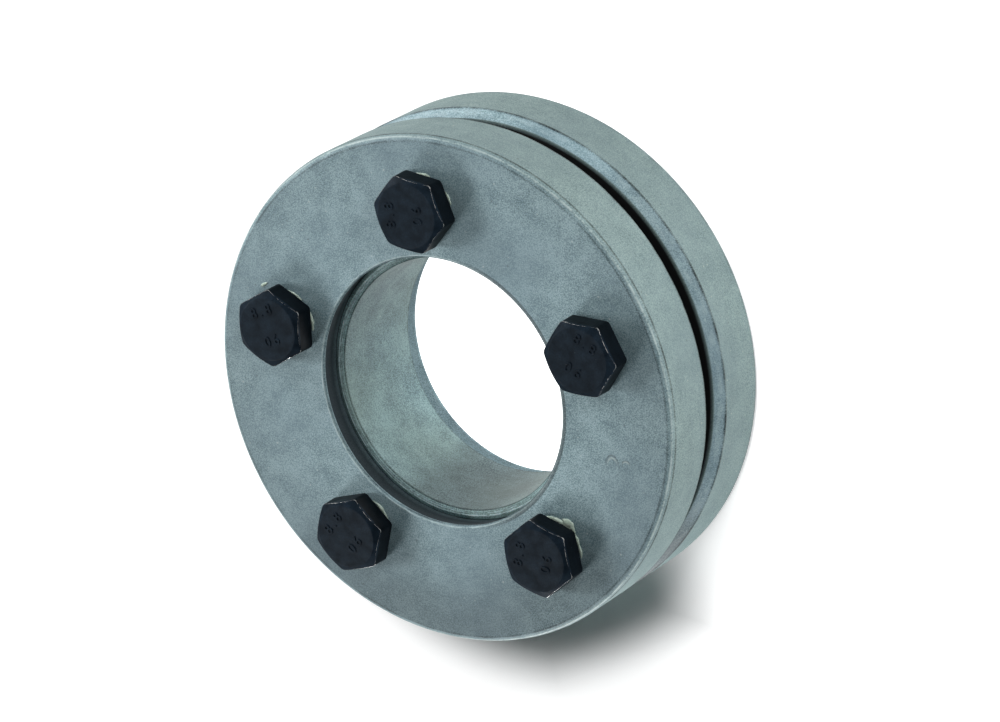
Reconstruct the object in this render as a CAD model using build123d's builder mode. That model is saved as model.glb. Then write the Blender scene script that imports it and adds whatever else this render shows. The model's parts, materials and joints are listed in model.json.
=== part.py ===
from build123d import *
import os
from math import cos, radians, sin, tan

# Three-part shrink disc: hexagon screws draw two thrust rings with tapered bores
# together over a double-tapered inner ring, which then clamps what is inside it.
# The part stands on the rear ring's flat face. +Z is the bore axis, towards the
# screw heads, and the origin is on that axis in the rear face. Sizes are in mm.

# Driving dimensions of the rings
bore_d = 36.0               # inner ring's bore, slid over a hub or hollow shaft
outer_d = 72.0              # both thrust rings
ring_thickness = 10.25      # each thrust ring
ring_gap = 3.0              # between the thrust rings before tightening
inner_length = 16.5         # inner ring, end to end
inner_end_wall = 1.42       # inner ring's wall at its thin ends
cone_half_angle = 8.0       # each taper against the bore axis, degrees
cone_clearance = 0.1        # radial, between the tapers before tightening
centre_land = 1.4           # straight band between the inner ring's tapers

# Edges of the rings
outer_edge = 0.9            # chamfer at each thrust ring's outer face
gap_edge = 1.2              # chamfer at each thrust ring's face in the gap
mouth_edge = 0.5            # chamfer at each tapered bore's narrow end
throat_edge = 0.4           # chamfer at each tapered bore's wide end
inner_bore_edge = 0.25      # chamfer at both ends of the inner ring's bore
bevel_width = 0.65          # flat bevel round each end of the inner ring, radially
bevel_height = 0.35         # the same, along the axis

# Screws and their holes
screw_count = 5
first_screw_angle = 90.0    # degrees from +X
hole_wall = 1.89            # ring wall left between a tapered bore and a screw hole
thread_d = 6.0
thread_clearance = 0.05     # radial, between a screw and its tapped hole
through_hole_d = 6.6        # clearance holes in the front ring
tapped_hole_edge = 0.35     # lead-in chamfer at both ends of every tapped hole
tip_recess = 3.5            # from the rear face in to a screw's tip
tip_edge = 0.5              # chamfer at a screw's tip
head_across_flats = 9.8
head_across_corners = 11.1  # the six upright edges are rounded back to this circle
head_height = 4.0
head_top_d = 8.9            # flat circle that the head's chamfer leaves
head_chamfer_angle = 30.0   # degrees
washer_face_d = 9.0         # round bearing face under each head
washer_face_height = 0.45
head_turns = [48.0, 27.5, 13.0, 38.0, 54.5]   # a corner of each head from +X, degrees

# Places that follow from the sizes above
taper = tan(radians(cone_half_angle))
bore_r = bore_d / 2
outer_r = outer_d / 2
total_width = 2 * ring_thickness + ring_gap
mid_z = total_width / 2
inner_end_r = bore_r + inner_end_wall


def inner_cone_r(height):
    """Radius of the inner ring's taper, at a distance from the mid plane."""
    return inner_end_r + (inner_length / 2 - height) * taper


mouth_r = inner_cone_r(mid_z - mouth_edge) + cone_clearance
throat_r = inner_cone_r(ring_gap / 2 + throat_edge) + cone_clearance
bolt_circle_r = throat_r + throat_edge + hole_wall + through_hole_d / 2


def thrust_ring(hole_d, lead_in=0):
    """A thrust ring with its screw holes, where the rear ring lies: outer face down."""
    with BuildPart() as ring:
        with BuildSketch(Plane.XZ):
            with BuildLine():
                Polyline(
                    (mouth_r, mouth_edge),
                    (mouth_r + mouth_edge, 0),
                    (outer_r - outer_edge, 0),
                    (outer_r, outer_edge),
                    (outer_r, ring_thickness - gap_edge),
                    (outer_r - gap_edge, ring_thickness),
                    (throat_r + throat_edge, ring_thickness),
                    (throat_r, ring_thickness - throat_edge),
                    close=True,
                )
            make_face()
        revolve(axis=Axis.Z)
        with BuildSketch(Plane.XY):
            with PolarLocations(bolt_circle_r, screw_count, start_angle=first_screw_angle):
                Circle(hole_d / 2)
        extrude(amount=ring_thickness, mode=Mode.SUBTRACT)
        if lead_in:
            chamfer(ring.edges(Select.LAST).filter_by(GeomType.CIRCLE), lead_in)
    return ring


def double_taper_ring():
    """The inner ring: a straight bore inside, and two tapers that rise to a land at the mid plane."""
    end_z = inner_length / 2
    bevel_r = inner_cone_r(end_z - bevel_height)
    with BuildPart() as ring:
        with BuildSketch(Plane(origin=(0, 0, mid_z), x_dir=(1, 0, 0), z_dir=(0, -1, 0))):
            with BuildLine():
                Polyline(
                    (bore_r, 0),
                    (bore_r, end_z - inner_bore_edge),
                    (bore_r + inner_bore_edge, end_z),
                    (bevel_r - bevel_width, end_z),
                    (bevel_r, end_z - bevel_height),
                    (inner_cone_r(centre_land / 2), centre_land / 2),
                    (inner_cone_r(centre_land / 2), 0),
                )
                mirror(about=Plane.XZ)
            make_face()
        revolve(axis=Axis.Z)
    return ring


def clamping_screw(number):
    """A fully threaded hexagon screw, its head seated on the front ring."""
    angle = radians(first_screw_angle + number * 360 / screw_count)
    centre = (bolt_circle_r * cos(angle), bolt_circle_r * sin(angle), total_width)
    seat = Plane(origin=centre)
    section = Plane(origin=centre, x_dir=(1, 0, 0), z_dir=(0, -1, 0))
    corner_r = head_across_corners / 2
    chamfer_drop = (corner_r - head_top_d / 2) * tan(radians(head_chamfer_angle))
    with BuildPart() as screw:
        with BuildSketch(seat.offset(washer_face_height)):
            turn = head_turns[number % len(head_turns)]
            RegularPolygon(head_across_flats / 2, 6, major_radius=False, rotation=turn)
        extrude(amount=head_height - washer_face_height)

        # The head keeps what lies within a round blank with a blunt cone on top.
        with BuildSketch(section):
            with BuildLine():
                Polyline(
                    (0, 0),
                    (corner_r, 0),
                    (corner_r, head_height - chamfer_drop),
                    (head_top_d / 2, head_height),
                    (0, head_height),
                    close=True,
                )
            make_face()
        revolve(axis=Axis(centre, (0, 0, 1)), mode=Mode.INTERSECT)

        with BuildSketch(seat):
            Circle(washer_face_d / 2)
        extrude(amount=washer_face_height)
        with BuildSketch(seat):
            Circle(thread_d / 2)
        extrude(amount=tip_recess - total_width)
        chamfer(screw.faces().sort_by(Axis.Z)[0].edges(), tip_edge)
    return screw


rear_thrust_ring = thrust_ring(thread_d + 2 * thread_clearance, tapped_hole_edge)

with BuildPart() as front_thrust_ring:
    mirror(thrust_ring(through_hole_d).part, about=Plane.XY.offset(mid_z))

inner_ring = double_taper_ring()

pieces = {
    "rear_thrust_ring": rear_thrust_ring,
    "front_thrust_ring": front_thrust_ring,
    "inner_ring": inner_ring,
}
for number in range(screw_count):
    pieces[f"clamping_screw_{number + 1}"] = clamping_screw(number)

os.makedirs("parts", exist_ok=True)
for name, piece in pieces.items():
    piece.part.label = name
    export_step(piece.part, f"parts/{name}.step")
    print(name, "volume", round(piece.part.volume, 1))
print("bolt circle", round(2 * bolt_circle_r, 2), "screw length", total_width - tip_recess)
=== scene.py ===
import json
from math import atan2, cos, pi, radians, sin, tan

import bpy
from mathutils import Matrix, Vector


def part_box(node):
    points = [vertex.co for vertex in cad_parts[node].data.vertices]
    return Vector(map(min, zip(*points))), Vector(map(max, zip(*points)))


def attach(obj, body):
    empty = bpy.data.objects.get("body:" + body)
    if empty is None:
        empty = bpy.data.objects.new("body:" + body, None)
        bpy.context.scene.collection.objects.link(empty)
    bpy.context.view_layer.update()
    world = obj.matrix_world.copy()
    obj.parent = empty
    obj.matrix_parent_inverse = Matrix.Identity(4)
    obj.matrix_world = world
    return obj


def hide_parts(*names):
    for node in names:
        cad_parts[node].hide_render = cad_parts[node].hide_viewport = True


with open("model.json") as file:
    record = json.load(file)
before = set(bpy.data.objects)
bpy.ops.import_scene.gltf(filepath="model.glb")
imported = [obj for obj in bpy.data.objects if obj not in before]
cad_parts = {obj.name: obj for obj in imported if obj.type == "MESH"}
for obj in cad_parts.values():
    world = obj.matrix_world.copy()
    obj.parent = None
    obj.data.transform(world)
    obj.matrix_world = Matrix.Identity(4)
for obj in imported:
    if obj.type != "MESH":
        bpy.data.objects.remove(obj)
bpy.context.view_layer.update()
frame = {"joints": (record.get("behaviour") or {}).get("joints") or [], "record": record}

# Three-part shrink disc: phosphated steel rings and black oxide hexagon screws.
# Sizes are in millimetres. The trees that make shapes work in millimetres too, and scale by mm at
# their end. Materials read places in metres.
mm = 0.001

# What the frame gives
bore_r = next(m for m in frame["record"]["mounts"] if m["name"] == "bore")["dims"]["r_mm"]
outer_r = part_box("front_thrust_ring")[1].x / mm
rear_low, rear_high = (corner.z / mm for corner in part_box("rear_thrust_ring"))
front_low, front_high = (corner.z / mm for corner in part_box("front_thrust_ring"))
inner_low, inner_high = (corner.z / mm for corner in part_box("inner_ring"))
tip_z, head_top_z = (corner.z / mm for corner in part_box("clamping_screw_1"))
mid_z = (rear_low + front_high) / 2
screw_places = {
    joint["child"]: Vector(joint["pos_m"]) / mm
    for joint in frame["joints"]
    if joint["child"].startswith("clamping_screw")
}
bolt_circle_r = screw_places["clamping_screw_1"].xy.length

# Rings: forms that the boxes don't give
inner_end_wall = 1.42
cone_half_angle = 8.0
cone_clearance = 0.1
centre_land = 1.4
outer_edge = 0.9
gap_edge = 1.2
mouth_edge = 0.25
throat_edge = 0.4
inner_bore_edge = 0.25
bevel_width = 0.65
bevel_height = 0.35
turned_steps = 360

# Small roundings, how far the worn metal reaches beside them, and from what angle an edge is crisp
edge_round = 0.09
arc_steps = 4
wear_reach = 0.2
crisp_angle = 32.0

# Wear that differs between the thrust rings: on the mouth's edge and on the rim, and painted shade with
# some oily dirt in the recess.
# The recess runs between these two distances from the inner ring's end.
rear_wear_and_shade = {"mouth": -0.4, "recess": -1.4, "rim": -0.35}
front_wear_and_shade = {"mouth": 1.0, "recess": -1.92, "rim": -0.8}
recess_band = (2.9, 0.9)

# Screws, holes and threads
thread_pitch = 1.0
thread_crest_r = 3.0
thread_root_r = 2.39
thread_crest_width = 0.14
tap_crest_r = 3.06
tap_root_r = 2.52
tap_crest_width = 0.26
flank_angle = 30.0
thread_low = tip_z - 5 * thread_pitch
screw_thread_turns = 27.0
tapped_thread_turns = 14.0
thread_steps = 48
first_screw_angle = 90.0
clearance_hole_r = 3.3
lead_in = 0.35
tip_edge = 0.5
across_flats = 9.8
across_corners = 11.1
head_top_r = 4.45
head_chamfer_angle = 30.0
head_steps = 240
mark_height = 0.12
mark_sunk = 0.06
washer_r = 4.5
washer_height = 0.45

# How far each head is turned, and the marks on it
head_turns = {
    "clamping_screw_1": (48.0, 92.0),
    "clamping_screw_2": (27.5, 18.0),
    "clamping_screw_3": (13.0, 50.0),
    "clamping_screw_4": (38.0, 76.0),
    "clamping_screw_5": (54.5, -30.0),
}


# Values and nodes


class Value:
    """What a node gives. It takes part in sums as a number does, by Math nodes in its tree."""

    def __init__(self, socket):
        self.socket = socket

    def __add__(self, other):
        return calc("ADD", self, other)

    def __sub__(self, other):
        return calc("SUBTRACT", self, other)

    def __rsub__(self, other):
        return calc("SUBTRACT", other, self)

    def __mul__(self, other):
        return calc("MULTIPLY", self, other)

    def __rmul__(self, other):
        return calc("MULTIPLY", other, self)

    def __truediv__(self, other):
        return calc("DIVIDE", self, other)

    def __rtruediv__(self, other):
        return calc("DIVIDE", other, self)


class Outputs:
    """What a node gives, by name or number."""

    def __init__(self, node):
        self.sockets = node.outputs

    def __getitem__(self, key):
        return Value(self.sockets[key])


def tree_of(*values):
    """The tree that values come from, where at least one of them isn't a plain number."""
    return next(value.socket.id_data for value in values if isinstance(value, Value))


def link(value, socket):
    """Gives a value to a node's input."""
    if isinstance(value, Value):
        tree_of(value).links.new(value.socket, socket)
    else:
        socket.default_value = value


def put(tree, kind, inputs=None, **settings):
    """Adds a node, with its inputs given by name or number, and gives its outputs."""
    node = tree.nodes.new(kind)
    for name, value in settings.items():
        setattr(node, name, value)
    for key, value in (inputs or {}).items():
        for source in value if isinstance(value, list) else [value]:
            link(source, node.inputs[key])
    return Outputs(node)


def geo(tree, kind, inputs=None, output=0, **settings):
    """Adds a node that works on shapes and gives one of its outputs."""
    return put(tree, "GeometryNode" + kind, inputs, **settings)[output]


def calc(operation, *values, clamp=False):
    """The result of a Math node."""
    inputs = dict(enumerate(values))
    return put(tree_of(*values), "ShaderNodeMath", inputs, operation=operation, use_clamp=clamp)[0]


def ramp(value, start, end, low=0.0, high=1.0, smooth=False):
    """A value's place between start and end, as low to high."""
    inputs = {"Value": value, "From Min": start, "From Max": end, "To Min": low, "To Max": high}
    curve = "SMOOTHSTEP" if smooth else "LINEAR"
    return put(tree_of(value), "ShaderNodeMapRange", inputs, interpolation_type=curve)["Result"]


def blend(mask, off, on):
    """A value that goes from off to on as a mask goes from 0 to 1."""
    return ramp(mask, 0.0, 1.0, off, on)


def band(value, rise, fall):
    """1 between a smooth rise and a smooth fall, each given as its start and end."""
    return ramp(value, *rise, smooth=True) * ramp(value, *fall, 1.0, 0.0, smooth=True)


def vector(x, y, z):
    """A vector made of three values."""
    return put(tree_of(x, y, z), "ShaderNodeCombineXYZ", {0: x, 1: y, 2: z})[0]


def combined(operation, first, key, second):
    """The result of a Vector Math node, whose second input is given by its key."""
    inputs = {0: first, key: second}
    return put(tree_of(first), "ShaderNodeVectorMath", inputs, operation=operation)[0]


def polar(place):
    """A place's X, Y and Z, and its distance from the part's axis."""
    x, y, z = put(tree_of(place), "ShaderNodeSeparateXYZ", {0: place})
    return x, y, z, calc("SQRT", x * x + y * y)


def bearing(x, y):
    """Degrees round the axis, 0 towards -X and 90 towards -Y."""
    return calc("DEGREES", calc("ARCTAN2", y * -1.0, x * -1.0))


def noise(place, scale, detail):
    """Soft noise, 0 to 1, at a place."""
    inputs = {"Vector": place, "Scale": scale, "Detail": detail}
    return put(tree_of(place), "ShaderNodeTexNoise", inputs)["Fac"]


def tint(factor, base, over):
    """Colour over laid on colour base by a factor."""
    colours = [colour if isinstance(colour, Value) else (*colour, 1.0) for colour in (base, over)]
    inputs = {"Factor": factor, 6: colours[0], 7: colours[1]}
    return put(tree_of(factor), "ShaderNodeMix", inputs, data_type="RGBA")[2]


# What a node group takes and gives
kinds = {
    float: "NodeSocketFloat",
    int: "NodeSocketInt",
    str: "NodeSocketString",
    "geometry": "NodeSocketGeometry",
    "material": "NodeSocketMaterial",
    "object": "NodeSocketObject",
    "vector": "NodeSocketVector",
    "colour": "NodeSocketColor",
}


def group(name, inputs, outputs):
    """Makes a node group from a function that gives its output, or its outputs by name.

    Inputs are given as values or as words of kinds, and outputs as words or types of kinds.
    """

    def build(make):
        kind = "GeometryNodeTree" if "Mesh" in outputs else "ShaderNodeTree"
        tree = bpy.data.node_groups.new(name, kind)
        for title, value in inputs.items():
            word = value if value in kinds else type(value)
            socket = tree.interface.new_socket(title, in_out="INPUT", socket_type=kinds[word])
            if value not in kinds:
                socket.default_value = value
        for title, word in outputs.items():
            tree.interface.new_socket(title, in_out="OUTPUT", socket_type=kinds[word])
        given = Outputs(tree.nodes.new("NodeGroupInput"))
        end = tree.nodes.new("NodeGroupOutput")
        made = make(tree, given)
        if isinstance(made, Value):
            made = {next(iter(outputs)): made}
        for title, value in made.items():
            link(value, end.inputs[title])
        return tree

    return build


def shape_group(name, inputs):
    """Makes a node group from a function that gives a mesh."""
    return group(name, inputs, {"Mesh": "geometry"})


def use(tree, group_tree, inputs):
    """Places a node group inside a tree and gives its outputs."""
    kind = "GeometryNodeGroup" if tree.bl_idname == "GeometryNodeTree" else "ShaderNodeGroup"
    return put(tree, kind, inputs, node_tree=group_tree)


def passed(given, *keys):
    """Inputs of a tree that are handed on to a group in it."""
    return {key: given[key] for key in keys}


# Node trees that make the shapes


def joined(operation, *meshes):
    """Boolean of closed meshes: UNION or INTERSECT of all, or DIFFERENCE from the first."""
    inputs = {"Mesh 2": list(meshes)}
    if operation == "DIFFERENCE":
        inputs = {"Mesh 1": meshes[0], "Mesh 2": list(meshes[1:])}
    tree = tree_of(*meshes)
    return geo(tree, "MeshBoolean", inputs, "Mesh", operation=operation, solver="MANIFOLD")


def moved(mesh, **change):
    """A mesh with a Translation, a Rotation or a Scale."""
    return geo(tree_of(mesh), "Transform", {"Geometry": mesh, **change})


def raised(mesh, height):
    """A mesh moved up by a height."""
    return moved(mesh, Translation=vector(0.0, 0.0, height))


def turned_by(mesh, degrees):
    """A mesh turned round the Z axis."""
    return moved(mesh, Rotation=vector(0.0, 0.0, calc("RADIANS", degrees)))


def marked(mesh, name, value):
    """A mesh or curve with a value stored at its points."""
    inputs = {"Geometry": mesh, "Name": name, "Value": value}
    return geo(tree_of(mesh), "StoreNamedAttribute", inputs)


def finished(mesh, material):
    """Smooth faces with crisp edges, the material, and millimetres turned to metres."""
    tree = tree_of(mesh)
    smooth = geo(tree, "SetShadeSmooth", {"Geometry": mesh})
    angle = geo(tree, "InputMeshEdgeAngle", output="Unsigned Angle")
    crisp = calc("GREATER_THAN", angle, radians(crisp_angle))
    edges = {"Geometry": smooth, "Selection": crisp, "Shade Smooth": False}
    crisped = geo(tree, "SetShadeSmooth", edges, domain="EDGE")
    coated = geo(tree, "SetMaterial", {"Geometry": crisped, "Material": material})
    return moved(coated, Scale=(mm, mm, mm))


@shape_group("turned", {"Profile": "geometry", "Radius": bore_r, "Steps": turned_steps})
def turned_group(tree, given):
    """Turns a profile round the Z axis, in even steps."""
    profile = geo(tree, "MeshToCurve", {"Mesh": given["Profile"]})
    round_way = {"Resolution": given["Steps"], "Radius": given["Radius"]}
    circle = geo(tree, "CurvePrimitiveCircle", round_way)
    upright = geo(tree, "SetCurveNormal", {"Curve": circle}, mode="Z_UP")
    skin = geo(tree, "CurveToMesh", {"Curve": upright, "Profile Curve": profile})
    return geo(tree, "MergeByDistance", {"Geometry": skin, "Distance": 0.002})


@shape_group("threaded_rod", {
    "Crest Radius": thread_crest_r,
    "Root Radius": thread_root_r,
    "Crest Width": thread_crest_width,
    "Pitch": thread_pitch,
    "Low": 0.0,
    "Turns": 10.0,
    "Steps": thread_steps,
})
def thread_group(tree, given):
    """A rod with a right-hand thread: a tapering ridge that climbs round a core."""
    ridge_foot = given["Root Radius"] - 0.15
    ridge_height = given["Crest Radius"] - ridge_foot
    length = given["Pitch"] * given["Turns"]
    climb = {
        "Resolution": given["Steps"],
        "Rotations": given["Turns"],
        "Start Radius": ridge_foot,
        "End Radius": ridge_foot,
        "Height": length,
        "Reverse": True,
    }
    spiral = geo(tree, "CurveSpiral", climb)
    upright = geo(tree, "SetCurveNormal", {"Curve": spiral}, mode="Z_UP")
    half_crest = given["Crest Width"] * 0.5
    half_foot = ridge_height * tan(radians(flank_angle)) + half_crest
    corners = {
        "Point 1": vector(0.0, half_foot * -1.0, 0.0),
        "Point 2": vector(ridge_height, half_crest * -1.0, 0.0),
        "Point 3": vector(ridge_height, half_crest, 0.0),
        "Point 4": vector(0.0, half_foot, 0.0),
    }
    section = geo(tree, "CurvePrimitiveQuadrilateral", corners, mode="POINTS")
    sweep = {"Curve": upright, "Profile Curve": section, "Fill Caps": True}
    ridge = geo(tree, "CurveToMesh", sweep)
    core_length = given["Pitch"] * 2.0 + length
    rod = {"Vertices": given["Steps"], "Radius": given["Root Radius"], "Depth": core_length}
    core = raised(geo(tree, "MeshCylinder", rod), length * 0.5)
    threaded = raised(joined("UNION", ridge, core), given["Low"])
    return threaded


@shape_group("thrust_ring", {
    "Profile": "geometry",
    "Radius": outer_r,
    "Steps": turned_steps,
    "Cutter": "object",
    "Bolt Circle Radius": bolt_circle_r,
    "Holes": len(screw_places),
    "First Angle": first_screw_angle,
    "Material": "material",
})
def ring_group(tree, given):
    """A turned ring with a hole cut at each place of its bolt circle."""
    ring = use(tree, turned_group, passed(given, "Profile", "Radius", "Steps"))["Mesh"]
    pattern = {"Vertices": given["Holes"], "Radius": given["Bolt Circle Radius"]}
    places = turned_by(geo(tree, "MeshCircle", pattern), given["First Angle"])
    cutter = geo(tree, "ObjectInfo", {"Object": given["Cutter"]}, "Geometry")
    cutters = geo(tree, "InstanceOnPoints", {"Points": places, "Instance": cutter})
    solid_cutters = geo(tree, "RealizeInstances", {"Geometry": cutters})
    drilled = joined("DIFFERENCE", ring, solid_cutters)
    return finished(drilled, given["Material"])


@shape_group(
    "turned_piece",
    {"Profile": "geometry", "Radius": bore_r, "Steps": turned_steps, "Material": "material"},
)
def plain_turned_tree(tree, given):
    """A turned piece with no holes."""
    piece = use(tree, turned_group, passed(given, "Profile", "Radius", "Steps"))["Mesh"]
    return finished(piece, given["Material"])


@shape_group("hole_cutter", {
    "Profile": "geometry",
    "Radius": bore_r,
    "Steps": thread_steps,
    "Low": 0.0,
    "Turns": 10.0,
    "Crest Radius": tap_crest_r,
    "Root Radius": tap_root_r,
    "Crest Width": tap_crest_width,
})
def cutter_tree(tree, given):
    """What a hole takes away: a turned form, with a thread where the hole is tapped."""
    form = use(tree, turned_group, passed(given, "Profile", "Radius", "Steps"))["Mesh"]
    sizes = passed(given, "Low", "Turns", "Crest Radius", "Root Radius", "Crest Width", "Steps")
    tapped = joined("UNION", form, use(tree, thread_group, sizes)["Mesh"])
    wanted = calc("GREATER_THAN", given["Turns"], 0.5)
    return geo(tree, "Switch", {"Switch": wanted, "False": form, "True": tapped})


@shape_group("hexagon_head", {
    "Blank": "geometry",
    "Across Flats": across_flats,
    "Across Corners": across_corners,
    "Washer Radius": washer_r,
    "Wall Middle": 2.0,
    "Wear From": 3.2,
    "Rounding": 0.3,
    "Corner Rounding": 0.12,
    "Top Edge": 0.07,
    "Corner Edge": 0.04,
    "Corner Wear": 0.15,
})
def hexagon_group(tree, given):
    """Presses a round blank into a hexagon with blunt corners, and marks its worn edges."""
    x, y, z, blank_r = polar(geo(tree, "InputPosition"))

    # The blank's even steps crowd towards the six corners
    even_angle = calc("ARCTAN2", y, x)
    angle = even_angle - calc("SINE", even_angle * 6.0) * (0.7 / 6)
    from_flat = pi / 6 - calc("PINGPONG", angle, pi / 6)
    apothem = given["Across Flats"] * 0.5
    corner_r = given["Across Corners"] * 0.5
    flat_r = apothem / calc("COSINE", from_flat)
    side_r = calc("SMOOTH_MIN", flat_r, corner_r, given["Corner Rounding"])

    # Above the wall's middle the blank is clipped, below it its rim is drawn in
    upper_r = calc("SMOOTH_MIN", blank_r, side_r, given["Rounding"])
    rim_start = corner_r - given["Rounding"]
    rim = ramp(blank_r, given["Washer Radius"], rim_start)
    lower_r = blank_r - (corner_r - side_r) * rim
    upper = calc("GREATER_THAN", z, given["Wall Middle"])
    final_r = (upper_r - lower_r) * upper + lower_r
    pressed_x = final_r * calc("COSINE", angle)
    pressed_y = final_r * calc("SINE", angle)

    top_gap = calc("ABSOLUTE", blank_r - side_r)
    at_top = calc("GREATER_THAN", z, given["Wear From"])
    top_edge = ramp(top_gap, 0.0, given["Top Edge"], 1.0, 0.0) * at_top
    corner_gap = calc("ABSOLUTE", flat_r - corner_r)
    on_wall = calc("GREATER_THAN", blank_r, side_r - 0.1)
    corner_near = ramp(corner_gap, 0.0, given["Corner Edge"], given["Corner Wear"], 0.0)
    edges = calc("MAXIMUM", top_edge, corner_near * on_wall)
    worn = geo(tree, "InputNamedAttribute", {"Name": "wear"})
    stored = marked(given["Blank"], "wear", calc("MAXIMUM", worn, edges))
    pressed = {"Geometry": stored, "Position": vector(pressed_x, pressed_y, z)}
    return geo(tree, "SetPosition", pressed)


@shape_group("raised_mark", {
    "Text": "8",
    "Size": 2.1,
    "Relief": mark_height,
    "Sunk": mark_sunk,
    "Y": 0.0,
    "Z": 0.0,
    "Turn": 0.0,
})
def mark_group(tree, given):
    """A raised mark in plain figures, sunk a little into the face that it stands on."""
    text = {"String": given["Text"], "Size": given["Size"], "Character Spacing": 1.5}
    letters = geo(tree, "StringToCurves", text, align_x="CENTER", align_y="MIDDLE")
    curves = geo(tree, "RealizeInstances", {"Geometry": letters})
    flat = geo(tree, "FillCurve", {"Curve": curves}, mode="NGONS")
    height = given["Relief"] + given["Sunk"]
    walls = geo(tree, "ExtrudeMesh", {"Mesh": flat, "Offset Scale": height, "Individual": False})
    under = geo(tree, "FlipFaces", {"Mesh": flat})
    both = geo(tree, "JoinGeometry", {"Geometry": [walls, under]})
    closed = geo(tree, "MergeByDistance", {"Geometry": both, "Distance": 0.0005})
    place = vector(0.0, given["Y"], given["Z"] - given["Sunk"])
    put_down = moved(marked(closed, "wear", 0.4), Translation=place)
    return turned_by(put_down, given["Turn"])


@shape_group("clamping_screw", {
    "Profile": "geometry",
    "Radius": bore_r,
    "Shank": "object",
    "Seat Height": front_high,
    "Turn": 0.0,
    "Mark Turn": 0.0,
    "X": 0.0,
    "Y": 0.0,
    "Head Steps": head_steps,
    "Thread Low": -1.0,
    "Thread Turns": screw_thread_turns,
    "Head Height": 4.0,
    "Grade": "8.8",
    "Batch": "06",
    "Material": "material",
})
def screw_tree(tree, given):
    """A hexagon screw: a threaded shank cut to length, a pressed head and its raised marks."""
    blank = use(tree, turned_group, passed(given, "Profile", "Radius") | {"Steps": given["Head Steps"]})
    head = use(tree, hexagon_group, {"Blank": blank["Mesh"]})["Mesh"]
    marks = []
    for text, y in (("Grade", 2.6), ("Batch", -1.7)):
        sizes = {"Text": given[text], "Y": y, "Z": given["Head Height"], "Turn": given["Mark Turn"]}
        marks.append(use(tree, mark_group, sizes)["Mesh"])
    turned_head = turned_by(head, given["Turn"])
    top = geo(tree, "JoinGeometry", {"Geometry": [turned_head, *marks]})
    seated = raised(top, given["Seat Height"])
    rod = use(tree, thread_group, {"Low": given["Thread Low"], "Turns": given["Thread Turns"]})["Mesh"]
    blank_shank = geo(tree, "ObjectInfo", {"Object": given["Shank"]}, "Geometry")
    shank = joined("INTERSECT", rod, blank_shank)
    whole = geo(tree, "JoinGeometry", {"Geometry": [seated, shank]})
    placed = moved(whole, Translation=vector(given["X"], given["Y"], 0.0))
    return finished(placed, given["Material"])


@shape_group("grease", {
    "Arc Radius": 4.8,
    "Start": 0.0,
    "Sweep": 90.0,
    "Thickness": 0.3,
    "Spread": 0.2,
    "Seed": 0.0,
    "X": 0.0,
    "Y": 0.0,
    "Seat Height": front_high,
    "Material": "material",
})
def grease_tree(tree, given):
    """A smear of grease that was pressed out along part of a washer face's edge."""
    way = {
        "Resolution": 64,
        "Radius": given["Arc Radius"],
        "Start Angle": calc("RADIANS", given["Start"]),
        "Sweep Angle": calc("RADIANS", given["Sweep"]),
    }
    arc = geo(tree, "CurveArc", way)
    along = geo(tree, "SplineParameter", output="Factor")
    taper = calc("POWER", calc("SINE", along * pi), 0.45)
    rough = {"W": given["Seed"], "Scale": 1.1, "Detail": 1.0}
    lumps = put(tree, "ShaderNodeTexNoise", rough, noise_dimensions="4D")["Fac"]
    size = taper * ramp(lumps, 0.3, 0.7, 0.45, 1.25) * given["Thickness"]
    beads = geo(tree, "CurveToPoints", {"Curve": marked(arc, "size", size), "Count": 90})
    wide = {"W": given["Seed"] + 5.0, "Scale": 0.9}
    wander = put(tree, "ShaderNodeTexNoise", wide, noise_dimensions="4D")["Color"]
    middle = combined("SUBTRACT", wander, 1, (0.5, 0.5, 0.5))
    spread = combined("SCALE", middle, "Scale", given["Spread"])
    flat_spread = combined("MULTIPLY", spread, 1, (1, 1, 0))
    strewn = geo(tree, "SetPosition", {"Geometry": beads, "Offset": flat_spread})
    bead_size = geo(tree, "InputNamedAttribute", {"Name": "size"})
    drops = {"Points": strewn, "Voxel Size": 0.06, "Radius": bead_size}
    volume = geo(tree, "PointsToVolume", drops, resolution_mode="VOXEL_SIZE")
    skin = geo(tree, "VolumeToMesh", {"Volume": volume, "Threshold": 0.1, "Adaptivity": 0.15})
    place = vector(given["X"], given["Y"], given["Seat Height"])
    placed = moved(skin, Scale=(1, 1, 0.7), Translation=place)
    return finished(placed, given["Material"])


# Profiles and pieces


def rounded_profile(corners):
    """Points (r, z, wear) of an outline with rounded corners, for turning.

    A corner is (r, z, rounding, wear). Corners run clockwise, with r to the right and z up. The wear
    holds on the rounding and ends a little beside it: 1 is rubbed bright, -1 is a broken dark seam,
    and -2 an even dark that is painted shade with some oily dirt, for a recess. A corner without rounding
    is a plain point of the outline.
    """
    points = []
    count = len(corners)
    for number, (r, z, rounding, wear) in enumerate(corners):
        here = Vector((r, z))
        if rounding == 0:
            points.append((r, z, wear))
            continue
        before = Vector(corners[number - 1][:2])
        after = Vector(corners[(number + 1) % count][:2])
        way_in = (here - before).normalized()
        way_out = (after - here).normalized()
        turn = atan2(way_in.cross(way_out), way_in.dot(way_out))
        setback = rounding * tan(abs(turn) / 2)
        start = here - way_in * setback
        end = here + way_out * setback
        side = 1 if turn > 0 else -1
        centre = start + Vector((-way_in.y, way_in.x)) * side * rounding
        reach_in = min(wear_reach, 0.4 * (here - before).length)
        reach_out = min(wear_reach, 0.4 * (after - here).length)
        points.append((*(start - way_in * reach_in), 0.0))
        for step in range(arc_steps + 1):
            spoke = Matrix.Rotation(turn * step / arc_steps, 2) @ (start - centre)
            points.append((*(centre + spoke), wear))
        points.append((*(end + way_out * reach_out), 0.0))
    return points


def across(start, end, wear):
    """Two plain points that give the face between two corners its wear."""
    way = Vector(end[:2]) - Vector(start[:2])
    return [(*(Vector(start[:2]) + way * share), 0, wear) for share in (0.3, 0.7)]


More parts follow.
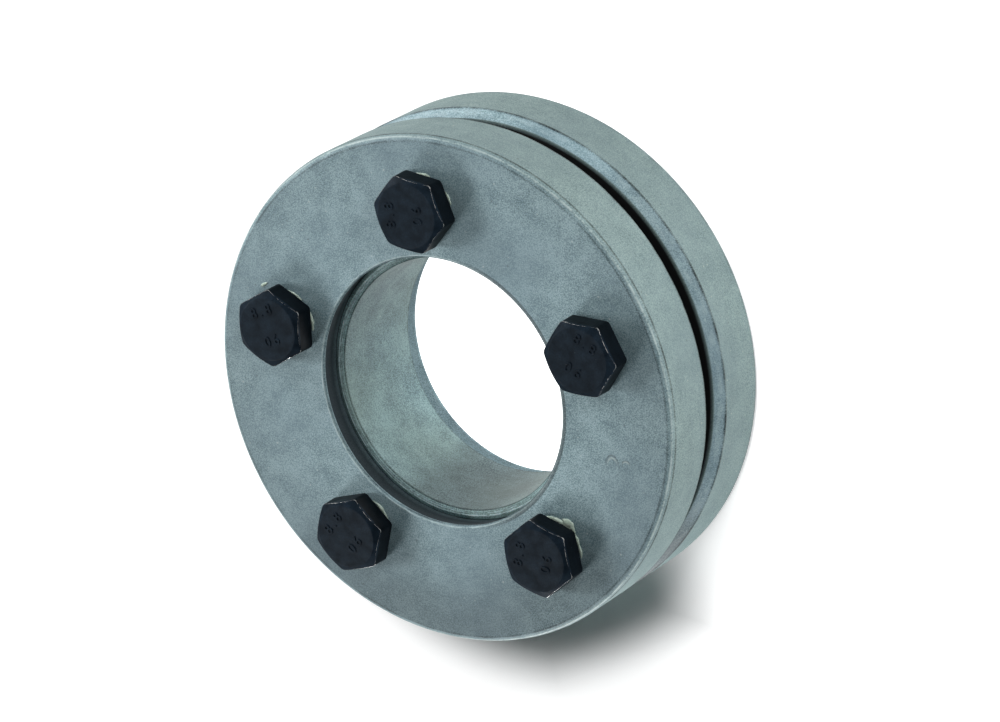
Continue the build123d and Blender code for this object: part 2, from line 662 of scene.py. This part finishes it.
def profile_mesh(name, points, radius, closed=True):
    """A profile as a chain of edges, laid out as the turning tree reads it."""
    mesh = bpy.data.meshes.new(name)
    count = len(points)
    links = [(i, (i + 1) % count) for i in range(count if closed else count - 1)]
    mesh.from_pydata([(r - radius, -z, 0) for r, z, _ in points], links, [])
    wear = mesh.attributes.new("wear", "FLOAT", "POINT")
    wear.data.foreach_set("value", [point[2] for point in points])
    return mesh


def made_by(tree, name, source, values):
    """Runs a tree on a mesh, with the values that it is given, and keeps the result as a plain mesh."""
    maker = bpy.data.objects.new(name, source)
    bpy.context.scene.collection.objects.link(maker)
    modifier = maker.modifiers.new("maker", "NODES")
    modifier.node_group = tree
    for item in tree.interface.items_tree:
        if item.item_type == "SOCKET" and item.in_out == "INPUT" and item.name in values:
            modifier[item.identifier] = values[item.name]
    depsgraph = bpy.context.evaluated_depsgraph_get()
    mesh = bpy.data.meshes.new_from_object(
        maker.evaluated_get(depsgraph), preserve_all_data_layers=True, depsgraph=depsgraph
    )
    bpy.data.objects.remove(maker)
    mesh.name = name
    if len(mesh.materials) > 1 and mesh.materials[0] is None:
        mesh.materials.pop(index=0)
    piece = bpy.data.objects.new(name, mesh)
    bpy.context.scene.collection.objects.link(piece)
    return piece


def cone_r(from_mid, clearance=0.0):
    """Radius of the inner ring's taper, or of a bore round it, at a distance from the mid plane."""
    half_length = (inner_high - inner_low) / 2
    rise = (half_length - from_mid) * tan(radians(cone_half_angle))
    return bore_r + inner_end_wall + rise + clearance


def thrust_ring_profile(outer_z, gap_z):
    """Outline of a thrust ring, from its outer face at outer_z to its face in the gap."""
    inward = 1 if gap_z > outer_z else -1
    inner_end_z, wear = (inner_low, rear_wear_and_shade) if inward > 0 else (inner_high, front_wear_and_shade)
    # The recess corners carry painted shade with some oily dirt, as a wear of -1 to -2
    recess_z = [inner_end_z - inward * away for away in recess_band]
    recess = [(cone_r(abs(z - mid_z), cone_clearance), z, 0, wear["recess"]) for z in recess_z]
    mouth_r = cone_r(abs(outer_z - mid_z), cone_clearance)
    throat_z = gap_z - inward * throat_edge
    throat_r = cone_r(abs(throat_z - mid_z), cone_clearance)
    gap_face = (outer_r - gap_edge, gap_z, 3 * edge_round, 0.0)
    gap_side = (outer_r, gap_z - inward * gap_edge, 2.5 * edge_round, -0.9)
    crest_z = outer_z + inward * 0.32 * outer_edge
    corners = [
        (mouth_r + mouth_edge, outer_z, 0.8 * edge_round, wear["mouth"]),
        (mouth_r, outer_z + inward * mouth_edge, 0.8 * edge_round, -0.7),
        *recess,
        (throat_r, throat_z, edge_round, 0.0),
        (throat_r + throat_edge, gap_z, edge_round, 0.0),
        gap_face,
        *across(gap_face, gap_side, 0.27),
        gap_side,
        (outer_r, outer_z + inward * outer_edge, 1.6 * edge_round, wear["rim"]),
        (outer_r - 0.3 * outer_edge, crest_z, 2 * edge_round, 0.8),
        (outer_r - 0.88 * outer_edge, outer_z, 1.6 * edge_round, -0.5),
    ]
    return rounded_profile(corners if inward > 0 else corners[::-1])


def inner_ring_profile():
    """Outline of the inner ring: a straight bore, and two tapers that rise to a land."""
    end = (inner_high - inner_low) / 2
    bevel_r = cone_r(end - bevel_height)
    upper = [
        (bore_r, end - inner_bore_edge, edge_round / 2, -1.5),
        (bore_r + inner_bore_edge, end, edge_round / 2, -0.3),
        (bore_r + 1.6 * inner_bore_edge, end, 0, 0.5),
        (bevel_r - bevel_width, end, edge_round, 1.0),
        (bevel_r, end - bevel_height, edge_round, 0.0),
        (cone_r(centre_land / 2), centre_land / 2, edge_round, 0.0),
    ]
    lower = [(r, -z, rounding, wear) for r, z, rounding, wear in reversed(upper)]
    return rounded_profile([(r, z + mid_z, rounding, wear) for r, z, rounding, wear in upper + lower])


def head_profile():
    """Outline of a head before it is pressed to a hexagon, from the axis above to the axis below."""
    height = head_top_z - front_high
    corner_r = across_corners / 2
    slope = tan(radians(head_chamfer_angle))
    rows = 18
    start_r = head_top_r + 0.1
    step = (corner_r - head_top_r - 0.22) / rows
    cone = [start_r + step * row for row in range(rows + 1)]
    corners = [
        (0.0, height, 0, 0.0),
        (head_top_r, height, 0.25, 0.0),
        *((r, height - (r - head_top_r) * slope, 0, 0.0) for r in cone),
        (corner_r, height - (corner_r - head_top_r) * slope, 0.1, 0.0),
        (corner_r, washer_height, 0.22, 0.0),
        (washer_r, washer_height, 0, 0.0),
        (washer_r, 0.0, edge_round, 0.0),
        (0.0, 0.0, 0, 0.0),
    ]
    return rounded_profile(corners)


def hole_cutters():
    """The plain hole of the front ring and the tapped hole of the rear ring, each as a cutter."""
    over = 1.0
    plain = [
        (0.0, front_high + over),
        (clearance_hole_r, front_high + over),
        (clearance_hole_r, front_low - over),
        (0.0, front_low - over),
    ]
    waist_r = tap_root_r - 0.1
    mouth_r = tap_crest_r + lead_in
    mouth_depth = mouth_r - waist_r
    tapped = [
        (0.0, rear_high + over),
        (mouth_r + over, rear_high + over),
        (mouth_r, rear_high),
        (waist_r, rear_high - mouth_depth),
        (waist_r, rear_low + mouth_depth),
        (mouth_r, rear_low),
        (mouth_r + over, rear_low - over),
        (0.0, rear_low - over),
    ]
    cutters = {}
    forms = (("clearance_hole", plain, 0.0), ("tapped_hole", tapped, tapped_thread_turns))
    for name, corners, turns in forms:
        points = [(r, z, 0.0) for r, z in corners]
        values = {"Radius": bore_r, "Steps": thread_steps, "Low": thread_low, "Turns": turns}
        cutters[name] = made_by(cutter_tree, name, profile_mesh(name, points, bore_r, closed=False), values)
    return cutters


def make_rings(cutters, steel, bore_steel):
    """Both thrust rings and the inner ring."""
    rings = {}
    places = (
        ("rear_thrust_ring", "rear_ring", rear_low, rear_high, "tapped_hole"),
        ("front_thrust_ring", "front_ring", front_high, front_low, "clearance_hole"),
    )
    for node, body, outer_z, gap_z, hole in places:
        profile = profile_mesh(node, thrust_ring_profile(outer_z, gap_z), outer_r)
        values = {
            "Radius": outer_r,
            "Cutter": cutters[hole],
            "Bolt Circle Radius": bolt_circle_r,
            "Material": steel,
        }
        rings[node] = made_by(ring_group, "finished_" + node, profile, values)
        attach(rings[node], body)
        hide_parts(node)
    profile = profile_mesh("inner_ring", inner_ring_profile(), bore_r)
    values = {"Radius": bore_r, "Material": bore_steel}
    inner = made_by(plain_turned_tree, "finished_inner_ring", profile, values)
    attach(inner, "inner_ring")
    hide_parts("inner_ring")


def shank_blank():
    """A screw's shank before its thread shows: a rod with a chamfered tip."""
    over = thread_crest_r + 0.2
    root_r = thread_crest_r - tip_edge - 0.1
    shoulder_z = front_high + washer_height
    points = [
        (0.0, shoulder_z, 0.0),
        (over, shoulder_z, 0.0),
        (over, tip_z + (over - root_r), 0.0),
        (root_r, tip_z, 0.0),
        (0.0, tip_z, 0.0),
    ]
    profile = profile_mesh("shank_blank", points, bore_r, closed=False)
    values = {"Radius": bore_r, "Steps": thread_steps, "Turns": 0.0}
    return made_by(cutter_tree, "shank_blank", profile, values)


def make_screws(shank, material):
    """The five clamping screws, each with its own turn of the head."""
    profile = profile_mesh("head", head_profile(), bore_r, closed=False)
    for body, place in screw_places.items():
        values = {
            "Radius": bore_r,
            "Shank": shank,
            "Seat Height": front_high,
            "Turn": head_turns[body][0],
            "Mark Turn": head_turns[body][1],
            "X": place.x,
            "Y": place.y,
            "Thread Low": thread_low,
            "Head Height": head_top_z - front_high,
            "Material": material,
        }
        screw = made_by(screw_tree, "finished_" + body, profile, values)
        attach(screw, body)
        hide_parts(body)


# Each smear: screw, start and sweep in degrees round it, radius, thickness and spread
smears = [
    ("clamping_screw_4", -8.0, 116.0, 4.78, 0.36, 0.25),
    ("clamping_screw_4", 38.0, 26.0, 5.35, 0.45, 1.2),
    ("clamping_screw_3", 16.0, 46.0, 4.72, 0.26, 0.2),
    ("clamping_screw_2", -12.0, 44.0, 4.72, 0.3, 0.2),
    ("clamping_screw_2", 44.0, 32.0, 4.68, 0.2, 0.1),
    ("clamping_screw_2", 112.0, 12.0, 5.75, 0.26, 0.4),
    ("clamping_screw_1", 68.0, 34.0, 4.68, 0.24, 0.15),
    ("clamping_screw_1", 8.0, 28.0, 4.66, 0.18, 0.1),
]


def make_grease(material):
    """Pale grease beside the screw heads, carried by the front ring."""
    profile = bpy.data.meshes.new("grease")
    for number, (screw, start, sweep, radius, thickness, spread) in enumerate(smears):
        values = {
            "Arc Radius": radius,
            "Start": start,
            "Sweep": sweep,
            "Thickness": thickness,
            "Spread": spread,
            "Seed": float(number),
            "X": screw_places[screw].x,
            "Y": screw_places[screw].y,
            "Seat Height": front_high,
            "Material": material,
        }
        smear = made_by(grease_tree, f"grease_{number + 1}", profile, values)
        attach(smear, "front_ring")


# Effects that the finishes share


@group(
    "phosphate_mottle",
    {"Vector": "vector", "Cloud Size": 3.2, "Grain Size": 0.17},
    {"Cloud": float, "Grain": float, "Patch": float},
)
def mottle_group(tree, given):
    """Cloudy mottling and fine grain of a crystalline phosphate coating."""
    patch_size = given["Cloud Size"] * 5.0
    made = {}
    for title, size, detail, low, high in (
        ("Cloud", given["Cloud Size"], 3.0, 0.3, 0.7),
        ("Grain", given["Grain Size"], 2.0, 0.28, 0.72),
        ("Patch", patch_size, 1.0, 0.3, 0.7),
    ):
        uneven = noise(given["Vector"], 1.0 / mm / size, detail)
        made[title] = ramp(uneven, low, high)
    return made


@group("specks", {"Vector": "vector", "Spacing": 1.6, "Share": 0.12}, {"Dark": float, "Bright": float})
def speck_group(tree, given):
    """Small dark pits and bright crystals, strewn at random."""
    scale = 1.0 / mm / given["Spacing"]
    made = {}
    for title, shift in (("Dark", (0.0, 0.0, 0.0)), ("Bright", (0.3, 0.7, 0.1))):
        place = combined("ADD", given["Vector"], 1, shift)
        cells = put(tree, "ShaderNodeTexVoronoi", {"Vector": place, "Scale": scale})
        chance = put(tree, "ShaderNodeSeparateColor", {0: cells["Color"]})[0]
        spot = chance * given["Share"] - cells["Distance"]
        made[title] = ramp(spot, 0.0, 0.05)
    return made


@group(
    "turning_lines",
    {"Vector": "vector", "Line Width": 0.17, "Length": 2.5, "Coverage": 0.55, "Slant": 0.7},
    {"Lines": float},
)
def turning_group(tree, given):
    """Fine lines round the axis, as a lathe tool or a bench leaves them."""
    x, y, z, radius = polar(given["Vector"])
    outward = radius + z * given["Slant"]
    fine = outward / mm / given["Line Width"]
    long = outer_r / given["Length"]
    streaks = noise(vector(x / radius * long, y / radius * long, fine), 1.0, 2.0)
    edge = 0.85 - given["Coverage"] * 0.5
    return ramp(streaks, edge - 0.12, edge)


@group(
    "edge_wear",
    {"Vector": "vector", "Edge": 0.0, "Amount": 0.5, "Break Size": 0.5, "Unevenness": 1.5},
    {"Worn": float},
)
def wear_group(tree, given):
    """Where an edge is rubbed bright: the edge attribute, broken up by noise."""
    scale = 1.0 / mm / given["Break Size"]
    breaks = noise(given["Vector"], scale, 3.0) - 0.5
    uneven = breaks * given["Unevenness"] + given["Edge"]
    start = 1.0 - given["Amount"]
    worn = ramp(uneven, start, start + 0.25)
    on_edge = calc("GREATER_THAN", given["Edge"], 0.02)
    return worn * on_edge


@group(
    "bore_streak",
    {"Vector": "vector", "Plain": 0.95, "Pale": 1.33, "Oily": 0.7, "Ends": 1.95},
    {"Tone": float},
)
def bore_light_group(tree, given):
    """Painted light and shade: a lighter stretch and a darker streak along the bore's wall, and painted
    light on the faces at its ends.
    """
    x, y, _, radius = polar(given["Vector"])
    angle = bearing(x, y)
    to_lit = ramp(angle, -25.0, 38.0, given["Plain"], given["Pale"], smooth=True)
    drop = given["Oily"] - given["Pale"]
    to_shaded = ramp(angle, 50.0, 66.0, 0.0, drop, smooth=True)
    back = ramp(angle, 92.0, 125.0, 0.0, 1.0 - given["Oily"], smooth=True)
    wall = to_lit + to_shaded + back
    at_end = calc("GREATER_THAN", radius, (bore_r + 0.6 * inner_bore_edge) * mm)
    return blend(at_end, wall, given["Ends"])


# The olive tone of the rims. Then where a face's lower rim gets painted shade, and where the chamfers in
# the gap get a painted highlight above and painted shade below: the degrees between which each rises and
# falls again.
rim_tone = (1.0, 0.945, 0.858)
lower_rim_shade_band = ((35, 70), (120, 160))
chamfer_light_bands = {
    "Upper Chamfer": ((-138, -122), (-78, -62)),
    "Lower Chamfer": ((70, 90), (135, 156)),
}


@group("face_tone", {
    "Vector": "vector",
    "Inner Tone": 1.14,
    "Outer Tone": 0.9,
    "Lower Rim": 0.78,
    "Upper Chamfer": 1.4,
    "Lower Chamfer": 0.47,
    "Near Mouth": 0.45,
}, {"Tone": "colour", "Side": float})
def face_tone_and_light_group(tree, given):
    """The coating's tone: it falls off across a face from bore to rim, and is olive on the rim. It also
    holds painted shade on a face's lower rim and on the near side of the front ring's mouth, and a painted
    highlight and painted shade on the chamfers in the gap.
    """
    x, y, z, radius = polar(given["Vector"])
    angle = bearing(x, y)
    from_mid = calc("ABSOLUTE", z - mid_z * mm)
    rim_start = (outer_r - outer_edge) * mm
    tone = ramp(radius, 20 * mm, rim_start, given["Inner Tone"], given["Outer Tone"])
    # Painted shade on a face's lower rim
    outside = ramp(radius, 25 * mm, 33 * mm, smooth=True)
    low_rim_shade = band(angle, *lower_rim_shade_band) * outside
    tone = tone * blend(low_rim_shade, 1.0, given["Lower Rim"])

    # Painted light of their own: a painted highlight on the upper chamfers in the gap and painted shade on
    # the lower ones, and painted shade on the near side of the front ring's mouth
    on_rim = calc("GREATER_THAN", radius, (outer_r - gap_edge) * mm)
    by_gap = calc("LESS_THAN", from_mid, (mid_z - rear_high + gap_edge) * mm)
    chamfer = on_rim * by_gap
    painted_light_tone = 1.0
    for title, limits in chamfer_light_bands.items():
        side = band(angle, *limits) * chamfer
        painted_light_tone = painted_light_tone * blend(side, 1.0, given[title])
    in_mouth = calc("LESS_THAN", radius, (bore_r + 1.75) * mm)
    at_front = calc("GREATER_THAN", z, (front_high - 0.6) * mm)
    near_side = ramp(x / radius, 0.2, 0.55)
    near_mouth_shade = in_mouth * at_front * near_side
    painted_light_tone = painted_light_tone * blend(near_mouth_shade, 1.0, given["Near Mouth"])

    on_side = ramp(from_mid, (mid_z - outer_edge) * mm, mid_z * mm, 1.0, 0.0) * (1.0 - chamfer)
    on_side = on_side * calc("GREATER_THAN", radius, 25 * mm)
    tone = tint(on_side, vector(tone, tone, tone), rim_tone)
    return {"Tone": combined("SCALE", tone, "Scale", painted_light_tone), "Side": on_side}


@group(
    "gap_dirt",
    {"Vector": "vector", "Middle": mid_z * mm, "Half Gap": 1.62 * mm, "Clean From": 34.8 * mm},
    {"Dirt": float},
)
def gap_shade_group(tree, given):
    """Painted shade between the thrust rings: dark on the flat faces in from their chamfers."""
    _, _, z, radius = polar(given["Vector"])
    away = calc("ABSOLUTE", z - given["Middle"])
    shaded_from = given["Clean From"] - 0.6 * mm
    gap_shade_mask = ramp(radius, shaded_from, given["Clean From"], 1.0, 0.0)
    in_gap = calc("LESS_THAN", away, given["Half Gap"])
    outside_bore = calc("GREATER_THAN", radius, (bore_r + 0.5) * mm)
    return gap_shade_mask * in_gap * outside_bore


@group(
    "curl_mark",
    {"Vector": "vector", "X": 0.0, "Y": 0.0, "Width": 1.0, "Height": 1.0, "Line": 0.14},
    {"Dark": float, "Bright": float},
)
def curl_group(tree, given):
    """A small curl left by a scrape: an oval line, strongest at its top, with a bright lip inside."""
    x, y, z = put(tree, "ShaderNodeSeparateXYZ", {0: given["Vector"]})
    shares = []
    for place, centre, size in ((x, "X", "Width"), (y, "Y", "Height")):
        from_centre = place / mm - given[centre]
        shares.append(from_centre / given[size])
    wide, high = shares
    reach = calc("SQRT", wide * wide + high * high)
    top = ramp(high, -0.1, 0.8, smooth=True)
    on_front = calc("GREATER_THAN", z, (front_high - 0.05) * mm)
    made = {}
    for title, middle, least in (("Dark", 1.0, 0.3), ("Bright", 0.76, 0.0)):
        off = calc("ABSOLUTE", reach - middle)
        line = ramp(off, 0.0, given["Line"], 1.0, 0.0)
        strength = top * (1.0 - least) + least
        made[title] = line * strength * on_front
    return made


# Finishes


def linear(red, green, blue):
    """A colour given as it is seen on screen, 0 to 255, as the values that a shader takes."""
    shares = (red / 255, green / 255, blue / 255)
    return tuple(s / 12.92 if s <= 0.04045 else ((s + 0.055) / 1.055) ** 2.4 for s in shares)


# Coatings: light, dark and patch
ring_coating = (linear(162, 188, 194), linear(96, 122, 129), linear(121, 145, 156))
bore_coating = (linear(131, 158, 160), linear(72, 93, 98), linear(110, 127, 117))

# What lies in or on the phosphate
pit = linear(84, 97, 100)
crystal = linear(190, 204, 204)
bright_line = linear(180, 200, 204)
rubbed_edge = linear(190, 212, 212)
seam_dirt = linear(24, 35, 38)
recess_shade_and_dirt = linear(17, 22, 29)
gap_dirt = linear(13, 14, 17)
curl_dark = linear(70, 82, 86)
curl_bright = linear(196, 208, 204)

# Black oxide, what is bare in it, and grease
oxide_light = linear(35, 48, 60)
oxide_dark = linear(13, 25, 35)
oxide_grain = linear(20, 28, 34)
oxide_wall_shade = linear(6, 9, 11)
oxide_speck = linear(92, 100, 106)
bare_steel = linear(196, 196, 194)
grease_light = linear(216, 232, 218)
grease_dark = linear(168, 190, 174)

# How high over its seat the painted shade on a head's wall ends: where that begins, and where it is done
wall_shade_end = (3.25, 3.45)

# The curl mark on the front face, and a smaller one beside it
curls = [
    {"X": 26.25, "Y": -7.85, "Width": 1.0, "Height": 1.55},
    {"X": 28.35, "Y": -7.45, "Width": 0.6, "Height": 0.55, "Line": 0.3},
]


def new_material(name):
    """A material with its shader, and the place and the edge wear that its finish reads."""
    material = bpy.data.materials.new(name)
    material.use_nodes = True
    tree = material.node_tree
    place = put(tree, "ShaderNodeTexCoord")["Object"]
    edge = put(tree, "ShaderNodeAttribute", attribute_name="wear")["Fac"]
    return material, tree, place, edge


def set_shader(tree, relief, specular=None, **linked):
    """Links the shader's inputs, and its normal to a relief given as strength, distance and height."""
    sockets = tree.nodes["Principled BSDF"].inputs
    for name, source in linked.items():
        link(source, sockets[name.replace("_", " ")])
    bump = put(tree, "ShaderNodeBump", dict(zip(("Strength", "Distance", "Height"), relief)))
    link(bump[0], sockets["Normal"])
    if specular is not None:
        sockets["Specular IOR Level"].default_value = specular


def phosphated_steel(name, coating, in_bore=False):
    """Matt blue-grey phosphate on turned steel, mottled, specked and rubbed bright at its edges. Painted
    shade lies in the gap, in the mouth's recess, on the lower rim and on the mouth's near side, a painted
    highlight on the upper chamfers, and in the bore painted light and shade.
    """
    material, tree, place, edge = new_material(name)
    light, dark, patch = coating
    mottle = use(tree, mottle_group, {"Vector": place})
    specks = use(tree, speck_group, {"Vector": place})
    face = use(tree, face_tone_and_light_group, {"Vector": place})
    wear = {"Vector": place, "Edge": edge, "Amount": 0.42, "Break Size": 0.4, "Unevenness": 2.4}
    worn = use(tree, wear_group, wear)["Worn"]

    # The coating itself
    grain = (mottle["Grain"] - 0.5) * blend(face["Side"], 1.35, 0.9)
    cloud = (mottle["Cloud"] - 0.5) * blend(face["Side"], 0.52, 0.26) + 0.5
    colour = tint(calc("ADD", grain, cloud, clamp=True), dark, light)
    colour = tint(mottle["Patch"] * 0.5, colour, patch)
    colour = tint(specks["Dark"] * 0.5, colour, pit)
    colour = tint(specks["Bright"] * 0.6, colour, crystal)

    # Scratches, rubbed edges, and painted shade in the gap. Wear under 0 is a broken seam, and from -1 to
    # -2 a recess with painted shade and some oily dirt.
    lines = use(tree, turning_group, {"Vector": place})["Lines"]
    on_edge = lines * calc("MAXIMUM", edge, 0.0)
    scratch = calc("MAXIMUM", on_edge, lines * 0.06)
    breaks = mottle["Grain"] * -0.6 + mottle["Cloud"] * -1.1 + 1.65
    depth = calc("MAXIMUM", edge * -1.0, 0.0)
    seam = depth * breaks * calc("GREATER_THAN", edge, -1.0)
    recess = ramp(edge, -1.0, -2.0)
    gap_shade_mask = use(tree, gap_shade_group, {"Vector": place})["Dirt"]
    colour = tint(scratch, colour, bright_line)
    colour = tint(worn * 0.5, colour, rubbed_edge)
    colour = tint(calc("MULTIPLY", seam, 0.85, clamp=True), colour, seam_dirt)
    # Painted shade with some oily dirt in the mouth recess
    colour = tint(recess, colour, recess_shade_and_dirt)
    # Painted shade in the gap between the thrust rings
    colour = tint(gap_shade_mask, colour, gap_dirt)
    # The face tone brings painted shade on the lower rim and the mouth's near side, and a painted highlight
    # and painted shade on the gap's chamfers
    colour = combined("MULTIPLY", colour, 1, face["Tone"])
    # In the bore: painted light and shade along the wall, and painted light on the inner ring's end faces
    if in_bore:
        bore_light = use(tree, bore_light_group, {"Vector": place})["Tone"]
        colour = combined("SCALE", colour, "Scale", bore_light)
    for curl in curls:
        marks = use(tree, curl_group, {"Vector": place} | curl)
        colour = tint(marks["Dark"] * 0.6, colour, curl_dark)
        colour = tint(marks["Bright"] * 0.6, colour, curl_bright)

    rough = worn * -0.14 + blend(mottle["Grain"], 0.62, 0.5)
    rough = blend(recess, rough, 0.9)
    height = mottle["Grain"] * 0.5 + mottle["Cloud"] * 0.4 - specks["Dark"] * 0.6
    set_shader(tree, (0.2, 0.03 * mm, height), 0.35, Base_Color=colour, Roughness=rough)
    return material


def black_oxide():
    """Black oxide on forged steel: nearly black, faintly blue, with silver edges where it is rubbed, and
    painted shade on the walls.
    """
    material, tree, place, edge = new_material("black_oxide")
    mottle = use(tree, mottle_group, {"Vector": place, "Cloud Size": 1.6, "Grain Size": 0.25})
    specks = use(tree, speck_group, {"Vector": place, "Spacing": 1.1, "Share": 0.08})
    wear = {"Vector": place, "Edge": edge, "Amount": 0.4, "Break Size": 0.6, "Unevenness": 1.0}
    worn = use(tree, wear_group, wear)["Worn"]
    z = put(tree, "ShaderNodeSeparateXYZ", {0: place})[2]
    wall_shade_ends = [(front_high + height) * mm for height in wall_shade_end]
    # Painted shade darkens the head's walls below a height over the seat
    on_wall = ramp(z, *wall_shade_ends, 0.75, 0.0)
    colour = tint(mottle["Cloud"], oxide_dark, oxide_light)
    colour = tint(mottle["Grain"] * 0.5, colour, oxide_grain)
    colour = tint(on_wall, colour, oxide_wall_shade)
    colour = tint(specks["Bright"] * 0.35, colour, oxide_speck)
    colour = tint(worn, colour, bare_steel)
    metal = worn * 0.85
    rough = blend(mottle["Cloud"], 0.46, 0.36)
    height = mottle["Grain"] * 0.4 + mottle["Cloud"]
    relief = (0.25, 0.05 * mm, height)
    set_shader(tree, relief, 0.06, Base_Color=colour, Metallic=metal, Roughness=rough)
    return material


def grease_material():
    """Pale assembly grease, slightly wet."""
    material, tree, place, _ = new_material("pale_grease")
    mottle = use(tree, mottle_group, {"Vector": place, "Cloud Size": 0.9, "Grain Size": 0.3})
    colour = tint(mottle["Cloud"], grease_dark, grease_light)
    rough = blend(mottle["Grain"], 0.28, 0.4)
    set_shader(tree, (0.3, 0.06 * mm, mottle["Cloud"]), Base_Color=colour, Roughness=rough)
    return material


# Floor, light and camera


# Half the floor's side in metres, its own white, how much brighter the camera sees it, and its glow
# inside the bore
floor_half = 1.5
floor_white = 0.415
floor_gain = 1.7
bore_glow = 1.27

# How the shadow fades out to white for the camera. Each fade has a direction on the floor, or none for
# the distance from the axis, then its start and end in millimetres and the glow past its end.
fades = [
    (None, 46.0, 55.0, 0.42),
    (None, 100.0, 250.0, 1.0),
    ((0.43, -0.9), 40.5, 49.0, 0.4),
    ((0.9, 0.43), -2.0, 13.0, 0.58),
    ((-0.43, 0.9), 0.0, 20.0, 0.3),
]


def white_floor():
    """The floor's finish: a pale surface that shows white to the camera, but keeps the shadow."""
    material = bpy.data.materials.new("white_floor")
    material.use_nodes = True
    tree = material.node_tree
    sockets = tree.nodes["Principled BSDF"].inputs
    sockets["Roughness"].default_value = 0.9
    sockets["Specular IOR Level"].default_value = 0.0
    sockets["Emission Color"].default_value = (1, 1, 1, 1)
    x, y, _, radius = polar(put(tree, "ShaderNodeTexCoord")["Object"])
    seen = put(tree, "ShaderNodeLightPath")["Is Camera Ray"]
    pale = blend(seen, floor_white, floor_white * floor_gain)
    link(vector(pale, pale, pale), sockets["Base Color"])
    shade = 0.0
    for direction, start, end, tone in fades:
        distance = radius
        if direction:
            distance = x * direction[0] + y * direction[1]
        fade = ramp(distance, start * mm, end * mm, 0.0, tone, smooth=True)
        shade = calc("MAXIMUM", shade, fade)
    in_bore = calc("LESS_THAN", radius, (bore_r + 3.0) * mm)
    glow = in_bore * bore_glow + seen * shade
    link(glow, sockets["Emission Strength"])
    return material


def make_floor():
    """A plain pale floor that shows white, with the part's soft shadow on it."""
    signs = ((-1, -1), (1, -1), (1, 1), (-1, 1))
    mesh = bpy.data.meshes.new("floor")
    mesh.from_pydata([(floor_half * x, floor_half * y, 0) for x, y in signs], [], [(0, 1, 2, 3)])
    mesh.materials.append(white_floor())
    floor = bpy.data.objects.new("floor", mesh)
    bpy.context.scene.collection.objects.link(floor)
    return floor


def make_world(ambient=0.02):
    """White surroundings for the camera that give the part next to no light of their own."""
    world = bpy.data.worlds.new("studio")
    bpy.context.scene.world = world
    world.use_nodes = True
    tree = world.node_tree
    paths = put(tree, "ShaderNodeLightPath")
    shown = calc("MAXIMUM", paths["Is Camera Ray"], paths["Is Transmission Ray"])
    background = tree.nodes["Background"].inputs
    background["Color"].default_value = (1.0, 1.0, 1.0, 1)
    link(blend(shown, ambient, 1.0), background["Strength"])


# What the lamps face, in metres. Then each lamp: name, azimuth and elevation in degrees, distance,
# width and height in metres, watts
part_middle = Vector((0, 0, 0.012))
lamps = [
    ("lower_left_softbox", 225.0, 36.0, 0.9, 0.26, 0.26, 2.9),
    ("left_softbox", 180.0, 36.0, 0.9, 0.26, 0.26, 3.2),
    ("upper_right_softbox", 45.0, 12.0, 0.9, 0.45, 0.45, 1.718),
    ("right_softbox", 0.0, 35.0, 0.9, 0.45, 0.45, 0.680),
    ("upper_left_lamp", 135.0, 15.0, 0.17, 0.09, 0.09, 0.169),
    ("upper_right_lamp", 45.0, 15.0, 0.17, 0.09, 0.09, 0.056),
    ("high_upper_right_lamp", 45.0, 40.0, 0.17, 0.09, 0.09, 0.027),
    ("bottom_strip", 270.0, -0.86, 0.2, 0.14, 0.012, 0.397),
    ("right_strip", 0.0, -0.86, 0.2, 0.14, 0.012, 0.096),
    ("floor_softbox", 70.0, 56.0, 0.9, 0.42, 0.42, 13.0),
]


def make_lights(floor):
    """Soft lamps that face the part: large ones far off, and small ones near it for the fall of light.

    The floor has a lamp of its own, which gives the part's shadow the photograph's direction.
    """
    groups = {}
    for title, state in (("floor_only", "INCLUDE"), ("all_but_floor", "EXCLUDE")):
        groups[title] = bpy.data.collections.new(title)
        groups[title].objects.link(floor)
        groups[title].collection_objects[0].light_linking.link_state = state
    for name, azimuth, elevation, distance, width, height, power in lamps:
        data = bpy.data.lights.new(name, "AREA")
        data.shape = "RECTANGLE"
        data.size = width
        data.size_y = height
        data.energy = power
        lamp = bpy.data.objects.new(name, data)
        receivers = "floor_only" if name == "floor_softbox" else "all_but_floor"
        lamp.light_linking.receiver_collection = groups[receivers]
        around, up = radians(azimuth), radians(elevation)
        way = Vector((cos(around) * cos(up), sin(around) * cos(up), sin(up)))
        lamp.location = part_middle + way * distance
        lamp.rotation_euler = way.to_track_quat("Z", "Y").to_euler()
        bpy.context.scene.collection.objects.link(lamp)


def make_camera():
    """The photograph's view: down on the screw heads, rolled so that +Y is nearly up."""
    aim = Vector((2.260, 0.971, 11.75)) * mm
    distance = 623.44 * mm
    towards = Vector((0.52642, 0.30000, 0.79554)).normalized()
    up = Vector((-0.08570, 0.94964, -0.30140))
    right = up.cross(towards).normalized()
    up = towards.cross(right)
    data = bpy.data.cameras.new("camera")
    data.sensor_width = 36.0
    data.lens = 164.15
    data.clip_start = 0.01
    camera = bpy.data.objects.new("camera", data)
    axes = Matrix((right, up, towards)).transposed().to_4x4()
    camera.matrix_world = Matrix.Translation(aim + towards * distance) @ axes
    bpy.context.scene.collection.objects.link(camera)
    bpy.context.scene.camera = camera


def main():
    """Builds the stage, the finishes and the pieces."""
    bpy.context.scene.view_settings.view_transform = "Standard"
    make_camera()
    make_world()
    make_lights(make_floor())
    steel = phosphated_steel("phosphated_steel", ring_coating)
    bore_steel = phosphated_steel("phosphated_bore", bore_coating, in_bore=True)
    cutters = hole_cutters()
    shank = shank_blank()
    make_rings(cutters, steel, bore_steel)
    make_screws(shank, black_oxide())
    make_grease(grease_material())
    for helper in (*cutters.values(), shank):
        bpy.data.objects.remove(helper)


main()
